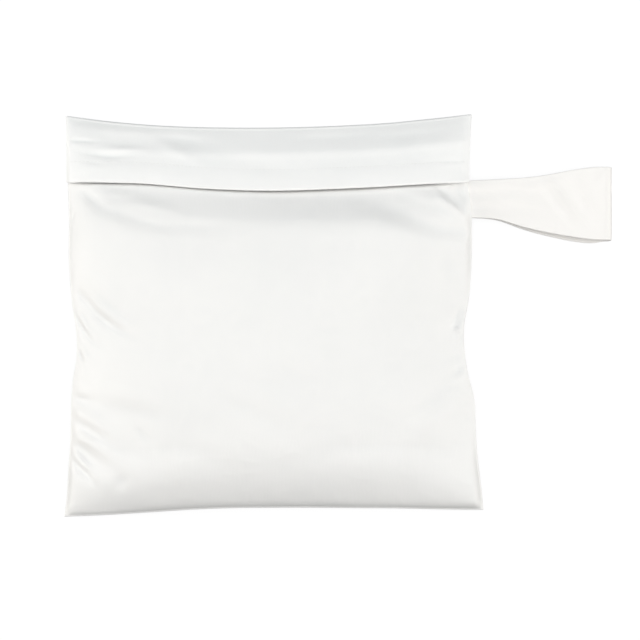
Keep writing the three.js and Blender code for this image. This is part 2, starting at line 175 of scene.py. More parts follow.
# Random heights from -1 to 1 on a square lattice, blended between its points with 6t^5 - 15t^4 + 10t^3.
def softNoise(x, y, size, seed):
    lattice = np.random.default_rng(seed).uniform(-1, 1, (97, 97))
    gx, gy = x / size + 40.3, y / size + 40.7
    ix, iy = np.floor(gx).astype(int), np.floor(gy).astype(int)
    fx, fy = gx - ix, gy - iy
    wx, wy = (f * f * f * (f * (6 * f - 15) + 10) for f in (fx, fy))
    corner = lambda i, k: lattice[(ix + i) % 97, (iy + k) % 97]
    low = corner(0, 0) * (1 - wx) + corner(1, 0) * wx
    high = corner(0, 1) * (1 - wx) + corner(1, 1) * wx
    return low * (1 - wy) + high * wy


pulledIn = lambda edge, across: pouch["height"] * readTable(endShape, "across", edge, across)
takenIn = lambda edge, up: pouch["width"] * readTable(sideShape, "up", edge, up)
topEdge = lambda across: pouch["bottom"] + pouch["height"] - pulledIn("top", across)
bottomEdge = lambda across: pouch["bottom"] + pulledIn("bottom", across)
leftEdge = lambda up: pouch["left"] + takenIn("left", up)
rightEdge = lambda up: pouch["left"] + pouch["width"] - takenIn("right", up)
heightAt = lambda across: topEdge(across) - bottomEdge(across)
upBelow = lambda across, down: 1 - down / heightAt(across)  # down is measured from the top edge
flapDepthAt = lambda across: pouch["flapDepth"] * readTable(flapShape, "across", "depth", across)
flapOpening = lambda across: readTable(flapShape, "across", "lift", across)
fromSide = lambda across: np.minimum(across, 1 - across) * pouch["width"]


def xAt(across, up, inset=0.0):
    return leftEdge(up) + inset + across * (rightEdge(up) - leftEdge(up) - 2 * inset)


def yAt(across, up, inset=0.0):
    return bottomEdge(across) + inset + up * (heightAt(across) - inset)


# Height of the seams, carried across the bag; the bottom seam rises between its two low corners.
def seamLevel(across, up):
    between = 1 - np.abs(2 * across - 1) ** 4
    nearBottom = 1 - smoothStep(up * pouch["height"], 0, pouch["bottomRoll"])
    bottomShare = (1 - seamShape["height"][0]) * between * nearBottom
    return pouch["seamHeight"] * (readTable(seamShape, "up", "height", up) + bottomShare)


# Number of layers at a distance from a hemmed edge: two in the hem, and one beyond it.
def hemLayers(fromEdge):
    return 1 + smoothStep(pouch["hem"] - fromEdge, -pouch["hemStep"], pouch["hemStep"])


strapRoot = {
    "y": (strapLow.y + strapHigh.y) / 2 + 3.4 * mm,  # above the middle of the loop
    "width": 25.4 * mm,
    "room": 1.5 * mm,
    "reach": 9 * mm,
}
strapRoot["up"] = float((strapRoot["y"] - bottomEdge(np.array(1.0))) / heightAt(np.array(1.0)))


# How far a panel stands off the seam to let the strap out: a flat-topped hill around the strap's root.
def strapRoom(across, up):
    aside = (yAt(across, up) - strapRoot["y"]) / (0.58 * strapRoot["width"])
    inward = (rightEdge(up) - xAt(across, up)) / strapRoot["reach"]
    return strapRoot["room"] * np.exp(-aside**6 - inward**2)


# Folds. x and y place the middle of each, turn is its direction in degrees from +X, long and wide are half
# sizes, valley is its depth, below 0 for a ridge, and wall is how much higher the cloth stands on its left
# side than on its right: all in mm. bend bows it sideways by that many of its widths at its ends, and sharp
# runs from 0, a soft dip, to 1, a pressed crease. Where a row leaves out its last values, they are 0.
foldColumns = ("x", "y", "turn", "long", "wide", "valley", "wall", "bend", "sharp")
# Folds that the photograph shows are placed in its pixels, with the cloth's height there in mm.
pictureColumns = ("pictureX", "pictureY", "height") + foldColumns[2:]


# Rows placed in the picture, as rows placed in the frame
def inFrame(rows):
    placed = []
    for row in rows:
        fold = dict(zip(pictureColumns, row))
        x, y = seenAt(fold["pictureX"], fold["pictureY"], fold["height"])
        placed.append((x / mm, y / mm, *row[3:]))
    return placed


# With a the distance aside in widths, a soft valley is exp(-a^2), a pressed one exp(-1.9 |a|) rounded at its
# bottom, and a wall a * exp((1 - a^2) / 2) / 2. A fold fades out along its length as exp(-1.3 t^2).
def foldHeights(rows, x, y):
    total = np.zeros_like(x)
    for row in rows:
        fold = dict(zip(foldColumns, (*row, 0, 0, 0)))
        turn = np.radians(fold["turn"])
        dx, dy = x - fold["x"] * mm, y - fold["y"] * mm
        along = (dx * np.cos(turn) + dy * np.sin(turn)) / (fold["long"] * mm)
        aside = (dy * np.cos(turn) - dx * np.sin(turn)) / (fold["wide"] * mm) - fold["bend"] * along**2
        soft = np.exp(-(aside**2))
        pressed = np.exp(-1.9 * np.sqrt(aside**2 + 0.03) + 0.33)
        valley = fold["valley"] * (soft + fold["sharp"] * (pressed - soft))
        wall = fold["wall"] / 2 * aside * np.exp((1 - aside**2) / 2)
        total += (wall - valley) * mm * np.exp(-1.3 * along**2)
    return total


# Puckers where thread draws a seam in: ridges square to the seam, |sin| of a wandering place along it,
# that start a little inside the seam and die out over reach.
def puckers(along, inward, size, reach, height, seed):
    wander = 1.3 * softNoise(along, inward * 0.35, 3 * size, seed)
    wander += 2 * softNoise(along, inward, 9 * size, seed + 1)
    ridge = 1 - np.abs(np.sin(np.pi * along / size + wander))
    strength = 0.5 + 0.5 * softNoise(along, inward * 0, 5 * size, seed + 2)
    reachHere = reach * (0.6 + 0.9 * strength)
    fade = np.exp(-inward / reachHere) * smoothStep(inward, -0.5 * mm, 3.5 * mm)
    return height * strength * (ridge - 0.35) * fade


# Slow swells and faint crumples of limp cloth, in three sizes.
def limpness(x, y, strength, seed):
    swells = 0.55 * softNoise(x, y, 46 * mm, seed) + 0.3 * softNoise(x + 0.4 * y, y, 21 * mm, seed + 1)
    bentX = x + 6 * mm * softNoise(x, y, 25 * mm, seed + 2)
    bentY = y + 6 * mm * softNoise(x, y, 25 * mm, seed + 3)
    crumple = 0.3 - np.abs(softNoise(bentX, bentY, 14 * mm, seed + 4))
    return strength * (swells + 0.28 * crumple)


# Mesh making

# Steps from 0 to 1, closer together at both ends: a blend of even steps and of half a cosine wave.
def crowded(count, crowding=0.6):
    even = np.linspace(0, 1, count + 1)
    return even + crowding * ((1 - np.cos(np.pi * even)) / 2 - even)


# Unit normals of a grid: the cross product of its two directions of travel.
def gridNormals(points):
    normal = np.cross(np.gradient(points, axis=0), np.gradient(points, axis=1))
    return normal / np.maximum(np.linalg.norm(normal, axis=2, keepdims=True), 1e-12)


# Turned edge: rows added past one end of a grid, on an arc from level with the cloth round to the seam,
# end + out * r * cos(t) + normal * r * (sin(t) - 1), with t from 90 down to -78 degrees.
def addLip(points, normal, out, radius):
    turns = np.radians(np.linspace(90, -78, pouch["lipSteps"] + 1)[1:])[:, None, None]
    return points + radius * (np.array(out) * np.cos(turns) + normal * (np.sin(turns) - 1))


# The grid moved by some rows along an axis, with its end rows repeated.
def shifted(grid, shift, axis):
    rows = grid.shape[axis]
    return np.take(grid, np.clip(np.arange(rows) + shift, 0, rows - 1), axis)


# Height of the cloth above the mean of its surroundings, in mm: below 0 in a crease, above 0 on a ridge.
def reliefOf(points, normals, reach=4):
    surroundings = sum(shifted(points, shift, axis) / 4 for shift in (-reach, reach) for axis in (0, 1))
    return ((points - surroundings) * normals).sum(2) / mm


# Six times the volume inside a set of faces: the triple products of their corners, fan by fan.
def signedVolume(points, faces):
    corner = [points[faces[:, k]] for k in range(faces.shape[1])]
    return sum((np.cross(corner[0], corner[k]) * corner[k + 1]).sum() for k in range(1, len(corner) - 1))


# A closed body of cloth between a fine outer grid of points and every second point of its lining, with its UV
# map in metres of cloth, its relief as an attribute, and material 0 on the outer face and 1 on the lining.
# Both grids have odd counts; at the rims two outer edges meet one lining edge in a five-sided face.
def clothMesh(name, outer, lining, materials, flatUv):
    inner = lining[::2, ::2]
    n, m = outer.shape[:2]
    outerIndex = np.arange(n * m).reshape(n, m)
    innerIndex = n * m + np.arange(inner.shape[0] * inner.shape[1]).reshape(inner.shape[:2])
    quad = lambda g: np.stack([g[:-1, :-1], g[1:, :-1], g[1:, 1:], g[:-1, 1:]], 2).reshape(-1, 4)
    rim = lambda a, b: np.stack([a[:-2:2], b[:-1], b[1:], a[2::2], a[1::2]], 1)
    outerFaces, innerFaces = quad(outerIndex), quad(innerIndex)[:, ::-1]
    rims = np.concatenate([
        rim(outerIndex[:, 0], innerIndex[:, 0]),
        rim(outerIndex[:, -1], innerIndex[:, -1])[:, ::-1],
        rim(outerIndex[0], innerIndex[0])[:, ::-1],
        rim(outerIndex[-1], innerIndex[-1]),
    ])
    faces = np.concatenate([outerFaces, innerFaces])
    points = np.concatenate([outer.reshape(-1, 3), inner.reshape(-1, 3)])
    if signedVolume(points, faces) + signedVolume(points, rims) < 0:
        faces, rims = faces[:, ::-1], rims[:, ::-1]
    mesh = bpy.data.meshes.new(name)
    mesh.vertices.add(len(points))
    mesh.vertices.foreach_set("co", points.astype("float32").ravel())
    corners = np.concatenate([faces.ravel(), rims.ravel()]).astype("int32")
    mesh.loops.add(len(corners))
    mesh.loops.foreach_set("vertex_index", corners)
    starts = np.concatenate([np.arange(len(faces)) * 4, faces.size + np.arange(len(rims)) * 5])
    mesh.polygons.add(len(starts))
    mesh.polygons.foreach_set("loop_start", starts.astype("int32"))
    mesh.polygons.foreach_set("use_smooth", np.ones(len(starts), bool))
    inside = np.zeros(len(starts), "int32")
    inside[len(outerFaces):len(faces)] = 1
    mesh.polygons.foreach_set("material_index", inside)
    mesh.update(calc_edges=True)
    uv = np.concatenate([flatUv.reshape(-1, 2), flatUv[::2, ::2].reshape(-1, 2)])
    layer = mesh.uv_layers.new(name="cloth")
    layer.uv.foreach_set("vector", uv[corners].astype("float32").ravel())
    # the relief is also the mask for the painted shade that greys the knit in creases
    relief = reliefOf(outer, gridNormals(outer))
    relief = np.concatenate([relief.ravel(), relief[::2, ::2].ravel()]).astype("float32")
    mesh.attributes.new("relief", "FLOAT", "POINT").data.foreach_set("value", relief)
    mesh.validate()
    for material in materials:
        mesh.materials.append(material)
    return addObject(name, mesh)


# The lowest (pick = np.minimum) or highest height around each point, so that a coarse lining clears it.
def around(grid, pick):
    height = grid[:, :, 2]
    for axis in (0, 1):
        height = pick(height, pick(shifted(height, -1, axis), shifted(height, 1, axis)))
    return np.dstack([grid[:, :, :2], height])


# Materials

# Adds a node and sets its named inputs.
def addNode(tree, kind, values=None, **settings):
    node = tree.nodes.new(kind)
    for key, value in settings.items():
        setattr(node, key, value)
    for key, value in (values or {}).items():
        node.inputs[key].default_value = value
    return node


# What the knit is given: loops a metre, their depth, the nap, shares of mottling and of painted shade in
# creases, and two colours
knitNumbers = ("loops", "depth", "nap", "mottle", "creaseShade")
knitColors = ("cloth", "shade")


# The face of a fine knit: wales and courses of small loops, a soft nap, slow mottling, and painted shade that
# greys its creases and the gaps between its wales.
def knitGroup():
    group = bpy.data.node_groups.new("knitFace", "ShaderNodeTree")
    for way, names in (("INPUT", (*knitNumbers, *knitColors)), ("OUTPUT", ("color", "roughness", "height"))):
        for name in names:
            kind = "Color" if name in knitColors or name == "color" else "Float"
            group.interface.new_socket(name, in_out=way, socket_type="NodeSocket" + kind)
    link = group.links.new
    given = addNode(group, "NodeGroupInput").outputs
    result = addNode(group, "NodeGroupOutput").inputs
    math = lambda operation, a, b=0.0: mathNode(group, operation, a, b)
    uv = addNode(group, "ShaderNodeUVMap", uv_map="cloth").outputs["UV"]
    place = addNode(group, "ShaderNodeTexCoord").outputs["Object"]
    axes = addNode(group, "ShaderNodeSeparateXYZ")
    link(uv, axes.inputs[0])
    drift = addNode(group, "ShaderNodeTexNoise", {"Scale": 45.0, "Detail": 2.0})
    link(uv, drift.inputs["Vector"])
    sway = math("MULTIPLY", drift.outputs["Fac"], 0.004)
    column = math("MULTIPLY", math("ADD", axes.outputs["X"], sway), given["loops"])
    courses = math("MULTIPLY", given["loops"], 1.35)
    course = math("MULTIPLY", math("ADD", axes.outputs["Y"], sway), courses)
    wale = math("ABSOLUTE", math("SINE", math("MULTIPLY", column, np.pi)))
    loop = math("SINE", math("MULTIPLY", math("ADD", course, math("MULTIPLY", wale, 0.45)), 2 * np.pi))
    loops = math("MULTIPLY", math("ADD", wale, math("MULTIPLY", loop, 0.3)), given["depth"])
    nap = addNode(group, "ShaderNodeTexNoise", {"Scale": 2600.0, "Detail": 3.0, "Roughness": 0.65})
    link(uv, nap.inputs["Vector"])
    link(math("ADD", loops, math("MULTIPLY", nap.outputs["Fac"], given["nap"])), result["height"])
    mottle = addNode(group, "ShaderNodeTexNoise", {"Scale": 22.0, "Detail": 4.0, "Roughness": 0.55})
    link(place, mottle.inputs["Vector"])
    # painted shade: the colour greys where the cloth lies below its surroundings, in creases
    relief = addNode(group, "ShaderNodeAttribute", attribute_name="relief").outputs["Fac"]
    crease = addNode(group, "ShaderNodeMapRange", {"From Min": 0.05, "From Max": -0.45})
    link(relief, crease.inputs["Value"])
    creaseShade = math("MULTIPLY", crease.outputs[0], given["creaseShade"])
    blotch = addNode(group, "ShaderNodeMapRange", {"From Min": 0.35, "From Max": 0.75})
    link(mottle.outputs["Fac"], blotch.inputs["Value"])
    # painted shade in the gaps between the wales
    between = math("MULTIPLY", math("SUBTRACT", 1.0, wale), math("MULTIPLY", given["depth"], 0.12))
    amount = math("ADD", math("MULTIPLY", blotch.outputs[0], given["mottle"]), math("ADD", creaseShade, between))
    colours = addNode(group, "ShaderNodeMix", data_type="RGBA")
    link(math("MINIMUM", amount, 1.0), colours.inputs["Factor"])
    link(given["cloth"], colours.inputs["A"])
    link(given["shade"], colours.inputs["B"])
    link(colours.outputs["Result"], result["color"])
    rough = math("ADD", 0.56, math("MULTIPLY", mottle.outputs["Fac"], 0.12))
    link(math("ADD", rough, math("MULTIPLY", creaseShade, 0.1)), result["roughness"])
    return group


# One arithmetic node; a and b may be sockets or numbers.
def mathNode(tree, operation, a, b=0.0):
    node = tree.nodes.new("ShaderNodeMath")
    node.operation = operation
    for entry, value in zip(node.inputs, (a, b)):
        if isinstance(value, bpy.types.NodeSocket):
            tree.links.new(value, entry)
        else:
            entry.default_value = value
    return node.outputs[0]


# cloth and shade are linear colours; shade shows in blotches, the cloth's own tone, and as painted shade in
# creases and between the loops
lookColumns = ("cloth", "shade", "mottle", "creaseShade", "loops", "depth", "nap", "bump", "sheen")
clothLooks = {
    "panelFace": ((0.9, 0.896, 0.884), (0.8, 0.81, 0.81), 0.22, 0.35, 1100, 0.5, 0.45, 0.16, 0.08),
    # the flap's and the strap's faces are the panel's cloth painted a little lighter: painted light for how
    # brightly those parts are lit
    "flapFacePaintedLight": ((0.93, 0.93, 0.921), (0.82, 0.84, 0.84), 0.24, 0.35, 1100, 0.5, 0.45, 0.16, 0.08),
    "strapFacePaintedLight": ((0.93, 0.914, 0.894), (0.86, 0.85, 0.83), 0.2, 0.3, 1100, 0.5, 0.5, 0.16, 0.08),
    "film": ((0.84, 0.845, 0.84), (0.76, 0.77, 0.77), 0.3, 0.3, 1100, 0.12, 0.12, 0.06, 0.0),
    "thread": ((0.9, 0.9, 0.89), (0.74, 0.74, 0.74), 0.3, 0.2, 4500, 0.8, 0.3, 0.2, 0.1),
}


def clothMaterial(name, knit):
    look = dict(zip(lookColumns, clothLooks[name]))
    material = bpy.data.materials.new(name)
    material.use_nodes = True
    tree = material.node_tree
    shader = tree.nodes["Principled BSDF"]
    shader.inputs["Sheen Weight"].default_value = look["sheen"]
    shader.inputs["Sheen Roughness"].default_value = 0.45
    shader.inputs["Specular IOR Level"].default_value = 0.3
    face = tree.nodes.new("ShaderNodeGroup")
    face.node_tree = knit
    for key in knitNumbers:
        face.inputs[key].default_value = look[key]
    for key in knitColors:
        face.inputs[key].default_value = (*look[key], 1)
    bump = addNode(tree, "ShaderNodeBump", {"Strength": look["bump"], "Distance": 0.35 * mm})
    tree.links.new(face.outputs["color"], shader.inputs["Base Color"])
    tree.links.new(face.outputs["roughness"], shader.inputs["Roughness"])
    tree.links.new(face.outputs["height"], bump.inputs["Height"])
    tree.links.new(bump.outputs["Normal"], shader.inputs["Normal"])
    material.diffuse_color = (*look["cloth"], 1)
    return material


knit = knitGroup()
materials = {name: clothMaterial(name, knit) for name in clothLooks}
panelLooks = [materials["panelFace"], materials["film"]]
print("materials made")

# Front panel

# dive is how far the panel drops where it goes in under the flap, and bead how high
# it stands close behind the bottom seam, at the corners
frontPanel = {
    "steps": (280, 242),  # across and up
    "crowding": (0.5, 0.2),
    "limpness": 0.75 * mm,
    "fullness": 0.8,
    "flatness": {"middle": 2.4, "above": 6.6, "below": 4.4},  # the last two are added towards the ends
    "rise": {"power": 2.4, "fullness": 0.62},
    "dive": 4.2 * mm,
    "bead": 4.4 * mm,
    "beadInMiddle": 0.16,
    "beadReach": 6.5 * mm,
}
frontFolds = [
    # left seam
    (105, 318, 18, -39, 18, 3.2, 1, 4.6, 0.6),
    (83, 300, 14, -45, 9, 4, 1.5, 0, 0.2),
    (99, 288, 18, -40, 14, 6, -1.2),
    (80, 325, 14, -56, 12, 1.9, 1.8, 3.6, 0.3, 0.2),
    (94, 343, 17, -30, 9, 4.5, 1),
    (80, 355, 13, -58, 6, 1.8, 1.2, 3, 0, 0.2),
    (86, 364, 14, -20, 6, 3, -0.7),
    (80, 398, 14, -6, 10, 3.4, 1.4, 2.4, 0, 0.1),
    (120, 405, 25, -9, 34, 6, 0.3, 1.8),
    (125, 373, 27, -15, 32, 19, -2.6),
    (89, 427, 18, -30, 18, 4.4, 0.8, 5.2, -0.2),
    (86, 441, 17, -15, 8, 3.4, -0.9),
    (90, 452, 17, -36, 20, 5.4, 1, 5.2, 0.2),
    (78, 456, 14, -44, 8, 1.6, -0.9),
    (80, 467, 14, -44, 14, 2.5, 1.2, 4),
    (87, 474, 15, -30, 5, 3.4, 1.2),
    (72, 218, 12, 75, 4, 1.4, 1.2, 0, 0, 0.4),
    # lower left corner
    (96, 472, 16, 0, 36, 26, 0, 4.5),
    (122, 482, 20, 62, 7, 5.2, 1.2),
    (141, 435, 28, -40, 9, 4.5, 0.9),
    # under the flap, left
    (92, 200, 13, -38, 12, 4.2, 1.5),
    (130, 218, 16, -16, 24, 5, 1.2, 0.3),
    (188, 227, 18, -2, 34, 5, 1, 0.4),
    (116, 194, 13, -6, 16, 3.4, -0.8),
    (152, 207, 15, -13, 22, 4, -1),
    (345, 210, 18, -3, 100, 13, 0.4, -3.2),
    # middle
    (252, 413, 37, -23, 32, 9, 1.2, 0.5, 0.2),
    (282, 385, 37, 0, 50, 14, 1.2),
    (205, 455, 33, -14, 34, 8, 0.6, 0.4),
    (340, 450, 34, 12, 38, 9, 0.6, 0.4),
    (182, 272, 28, 62, 38, 12, 0.6, 0.3, 0.1),
    (357, 290, 32, -64, 42, 13, 0.7, 0.4, 0.1),
    # right seam
    (448, 416, 22, 76, 24, 24, 0, 6),
    (430, 464, 20, 0, 56, 15, 0, 2.6),
    (458, 250, 14, 90, 46, 18, 0.6, -5),
    (446, 428, 24, 14, 30, 14, -1.6),
    (438, 403, 25, 34, 26, 7, 0.7, -1.8),
    (456, 322, 16, 88, 32, 11, 2.4, -2),
    (461, 319, 13, 62, 9, 3.4, 3.6, 0, 0, 0.2),
    (461, 331, 13, -8, 5, 1.8, -1.8),
    (464, 339, 13, 76, 6, 1.7, 2.2, 0, 0, 0.4),
    (459, 360, 15, 5, 8, 4, 0.9),
    (464, 372, 15, 24, 9, 3, 1.2, -1.2),
    (468, 298, 12, 86, 9, 3, 1, 0, 0, 0.1),
    (470, 247, 12, 88, 4, 1.4, 1.3, 0, 0, 0.4),
    (448, 264, 18, 84, 20, 7, 1.2),
    # around the strap's root
    (464, 193, 10, -46, 13, 6, 3.4),
    (451, 204, 13, -42, 14, 3, -2.2, -3),
    (430, 199, 14, -20, 24, 5, -1.2),
    (412, 222, 16, -20, 32, 7, 2.2, -1, 0.1),
    (455, 232, 14, -4, 18, 5.5, 1.8),
]


# The panel rises from the side seams as (1 - |x|^p)^fullness and from the bottom one as
# (1 - (1 - t)^2.4)^0.62, times its swell. folds=False leaves out its folds and lays it low all over.
def frontHeight(across, up, folds=True):
    side, low = fromSide(across), up * pouch["height"]
    fromMiddle = np.abs(2 * across - 1)
    mouthTop = pouch["mouthGap"] + 3 * pouch["solidCloth"]
    middle = mouthTop + (pouch["crown"] - mouthTop) * readTable(swellShape, "up", "height", up)
    flat, rise = frontPanel["flatness"], frontPanel["rise"]
    flatness = flat["middle"] + flat["above"] * smoothStep(up, 0.45, 0.85)
    flatness += flat["below"] * (1 - smoothStep(up, 0.01, 0.17))
    rounded = (1 - fromMiddle**flatness) ** frontPanel["fullness"]
    fromRoll = 1 - np.clip(low / pouch["bottomRoll"], 0, 1)
    nearBottom = (1 - fromRoll ** rise["power"]) ** rise["fullness"]
    limit = seamLevel(across, up) + 2.0 * pouch["lip"]
    top = limit + (middle - limit) * rounded * nearBottom
    beaded = easeIn(low, frontPanel["beadReach"]) * easeIn(side, frontPanel["beadReach"])
    nearCorner = frontPanel["beadInMiddle"] + (1 - frontPanel["beadInMiddle"]) * fromMiddle**8
    top = top + frontPanel["bead"] * nearCorner * beaded * (1 - smoothStep(low, 12 * mm, 80 * mm))
    if folds:
        x, y = xAt(across, up), yAt(across, up)
        atEdge = smoothStep(np.minimum(side, low), -2 * mm, 6 * mm)
        underFlap = 1 - smoothStep(up, 0.81, 0.9)
        detail = foldHeights(inFrame(frontFolds), x, y) + limpness(x, y, frontPanel["limpness"], 11)
        detail += puckers(y, side, 9 * mm, 5 * mm, 0.5 * mm, 21)
        detail += puckers(x, low, 11 * mm, 5 * mm, 0.45 * mm, 31)
        top = top + detail * atEdge * (0.12 + 0.88 * underFlap)
    fromFlap = (1 - up) * heightAt(across) - flapDepthAt(across)
    underLeaf = 1 - smoothStep(fromFlap, -1 * mm, 3.2 * mm) if folds else 1
    top = top - frontPanel["dive"] * flapOpening(across) * underLeaf
    room = 1 * mm * smoothStep(np.minimum(side, low), 0, 5 * mm)
    return limit + softMaximum(top - limit, 0, room) + strapRoom(across, up)


# Extends a grid past its left, right and bottom edges with turned edges, and its lining with short flat rows.
# facing is 1 for cloth that faces up, and -1 for cloth that faces down.
def turnEdges(outer, inner, facing):
    steps = pouch["lipSteps"]
    up = np.array([0, 0, facing])
    tuck = np.arange(1, steps + 1)[:, None, None] * pouch["lipTuck"]
    for axis, end, out in ((0, 0, (-1, 0, 0)), (0, -1, (1, 0, 0)), (1, 0, (0, -1, 0))):
        edge = np.take(outer, end, axis)
        lining = np.take(inner, end, axis)
        turned = edge.copy()
        if axis == 1:
            turned[:steps, 2], turned[-steps:, 2] = edge[steps, 2], edge[-steps - 1, 2]
        lip = addLip(turned, up, out, pouch["lip"])
        flat = lining + np.array(out) * tuck
        if axis == 1:
            # at the corners two turned edges meet, and the deeper one counts
            lip[:, :, 2] = facing * np.minimum(facing * lip[:, :, 2], facing * edge[None, :, 2])
            lip, flat = lip.transpose(1, 0, 2), flat.transpose(1, 0, 2)
        if end == 0:
            lip, flat = np.flip(lip, axis), np.flip(flat, axis)
            outer = np.concatenate([lip, outer], axis)
            inner = np.concatenate([flat, inner], axis)
        else:
            outer = np.concatenate([outer, lip], axis)
            inner = np.concatenate([inner, flat], axis)
    return outer, inner


# A free edge is a fold of cloth: its last rows go round half a circle as thick as the cloth, middle +
# out * r * cos(t) + normal * r * sin(t) outside and - normal inside, with t from 90 down to 8 degrees.
def roundOff(outer, inner, out, steps=4):
    middle = (outer[:, -1:] + inner[:, -1:]) / 2
    radius = np.linalg.norm(outer[:, -1:] - inner[:, -1:], axis=2, keepdims=True) / 2
    normal = (outer[:, -1:] - inner[:, -1:]) / np.maximum(2 * radius, 1e-9)
    turns = np.radians(np.linspace(90, 8, steps + 1)[1:])[None, :, None]
    beyond = middle + radius * np.array(out) * np.cos(turns)
    aside = radius * normal * np.sin(turns)
    return np.concatenate([outer, beyond + aside], 1), np.concatenate([inner, beyond - aside], 1)


# Keeps a panel's lining at least 0.2 mm inside its left, right and bottom edges.
def keepInside(inner, outer):
    inner[:, :, 0] = np.clip(inner[:, :, 0], outer[:1, :, 0] + 0.2 * mm, outer[-1:, :, 0] - 0.2 * mm)
    inner[:, :, 1] = np.maximum(inner[:, :, 1], outer[:, :1, 1] + 0.2 * mm)
    return inner


# Shares across and up at a panel's grid points, up to a distance below the top edge
def panelShares(panel, belowTop):
    across, share = (crowded(*pair) for pair in zip(panel["steps"], panel["crowding"]))
    across, share = np.broadcast_arrays(across[:, None], share[None, :])
    return across, share * upBelow(across, belowTop)


# A panel's outer grid of points from its shares and heights
def panelGrid(across, up, height):
    return np.stack([xAt(across, up, pouch["lip"]), yAt(across, up, pouch["lip"]), height], 2)


def makeFrontPanel():
    across, up = panelShares(frontPanel, pouch["mouthSetback"])
    outer = panelGrid(across, up, frontHeight(across, up))
    thickness = hemLayers((1 - up) * heightAt(across) - pouch["mouthSetback"]) * pouch["cloth"]
    inner = around(outer - gridNormals(outer) * thickness[:, :, None], np.minimum)
    floor = seamLevel(across, up) + strapRoom(across, up) + 0.1 * mm
    inner[:, :, 2] = np.minimum(np.maximum(inner[:, :, 2], floor), outer[:, :, 2] - 0.3 * mm)
    outer, inner = roundOff(outer, keepInside(inner, outer), (0, 1, 0))
    outer, inner = turnEdges(outer, inner, 1)
    return clothMesh("front_panel_cloth", outer, inner, panelLooks, outer[:, :, :2])


frontCloth = makeFrontPanel()
print("front panel made:", len(frontCloth.data.polygons), "faces")

# Back panel

backPanel = {"steps": (180, 168), "crowding": (0.6, 0.6), "limpness": 0.5 * mm}
backFolds = [
    (-84, -58, 38, 46, 9, -1.6, 0.6, 0.2),
    (65, -24, -32, 54, 10, -1.5, 0.6, 0.2),
    (-28, 56, 12, 60, 8, -1.3, 0.6, 0.1),
    (30, 92, -6, 44, 7, -1, 0.4, 0.1),
    (-125, -14, 30, 17, 3, -2.2, 0.8, 0.2, 0.3),
    (-128, 44, 14, 16, 3.4, -1.6, 0.5, 0.2, 0.2),
    (-126, -80, 46, 20, 3.2, -2.2, 0.8, 0.2, 0.3),
    (-118, -104, 52, 16, 3.4, -1.8, 0.5, 0.2, 0.2),
    (125, -14, -35, 19, 3.2, -2.2, 0.8, 0.2, 0.3),
    (126, 30, -12, 15, 3.4, -1.5, 0.5, 0.2, 0.2),
    (124, -92, -42, 20, 3.4, -2, 0.8, 0.2, 0.3),
    (-56, -122, 80, 17, 3.4, -1.8, 0.5, 0.2, 0.3),
    (36, -124, 96, 17, 3.6, -1.8, 0.5, 0.2, 0.3),
]


# The panel lies on the table and curls up to the seams as 1 - (1 - t)^2; its creases lift it, never lower it.
def backHeight(across, up):
    side = np.minimum(across, 1 - across) * (rightEdge(up) - leftEdge(up))
    low = up * pouch["height"]
    lying = easeIn(side, pouch["seamRoll"]) * easeIn(low, pouch["seamRoll"])
    seam = seamLevel(across, up) - 2.0 * pouch["lip"] - 0.06 * mm
    x, y = xAt(across, up), yAt(across, up)
    detail = foldHeights(backFolds, x, y) + limpness(x, y, backPanel["limpness"], 51)
    detail -= puckers(y, side, 9 * mm, 7 * mm, 0.8 * mm, 61)
    detail -= puckers(x, low, 11 * mm, 7 * mm, 0.8 * mm, 71)
    rolled = seam * (1 - lying)
    lift = detail * smoothStep(np.minimum(side, low), 0, 6 * mm)
    height = np.maximum(rolled + lift, 0) - strapRoom(across, up)
    return np.clip(height, 0, np.maximum(seam - strapRoom(across, up), 0))


def makeBackPanel():
    across, up = panelShares(backPanel, pouch["backEnd"])
    outer = panelGrid(across, up, backHeight(across, up))
    inner = around(outer + gridNormals(outer) * pouch["cloth"], np.maximum)
    ceiling = seamLevel(across, up) - strapRoom(across, up) - 0.1 * mm
    inner[:, :, 2] = np.maximum(np.minimum(inner[:, :, 2], ceiling), outer[:, :, 2] + 0.3 * mm)
    outer, inner = roundOff(outer, keepInside(inner, outer), (0, 1, 0), 2)
    outer, inner = turnEdges(outer, inner, -1)
    return clothMesh("back_panel_cloth", outer, inner, panelLooks, outer[:, :, :2])


backCloth = makeBackPanel()
print("back panel made:", len(backCloth.data.polygons), "faces")

# Flap

flap = {
    "acrossSteps": 320,
    "leafSteps": 64,
    "foldSteps": 12,
    "backSteps": 6,
    "lift": 6.4 * mm,
    "mouthLift": 0.25,  # share of the lift over the mouth's edge
    "gap": 0.3 * mm,  # between the leaf and the front panel where they touch
    "bendRoom": 0.11,  # share of the slope over which it bends into the level
    "lip": 0.8 * mm,
    "overhang": 0.6 * mm,
    "foldRadius": 2.0 * mm,
    "tightRadius": 1.35 * mm,
    "backDepth": pouch["backEnd"] - 0.3 * mm,
    "limpness": 0.35 * mm,
    "droop": 1.8 * mm,  # of the lower edge
    "droopReach": 12 * mm,
    "stitchDip": 0.05 * mm,
}
flapFolds = [
    (80, 140, 14, -3, 11, 1.8, 0.9, 0.2, 0, 0.4),
    (107, 156, 15, -4, 14, 2.4, 1, 0, 0.3, 0.2),
    (121, 149, 15, 0, 14, 2.2, -0.8),
    (95, 163, 15, -6, 8, 2, 0.4, 0, 0, 0.2),
    (176, 151, 16, -26, 20, 4.2, -0.8),
    (128, 133, 14, 0, 52, 9, 0, 2.2),
    (250, 162, 17, -18, 34, 7, 0.5),
    (186, 140, 13, -10, 14, 4, 0.5),
    (452, 161, 15, 0, 12, 1.6, 0.4, 0, 0, 0.4),
    (330, 136, 12, 2, 30, 4, 0.3, 0.2, 0.1),
    (411, 134, 12, 6, 24, 4, 0.3, 0.2, 0.1),
    (91, 174, 15, 4, 12, 4, 0.4),
]


def flapX(across, down):
    up = upBelow(across, down)
    return leftEdge(up) - flap["overhang"] + across * (rightEdge(up) - leftEdge(up) + 2 * flap["overhang"])


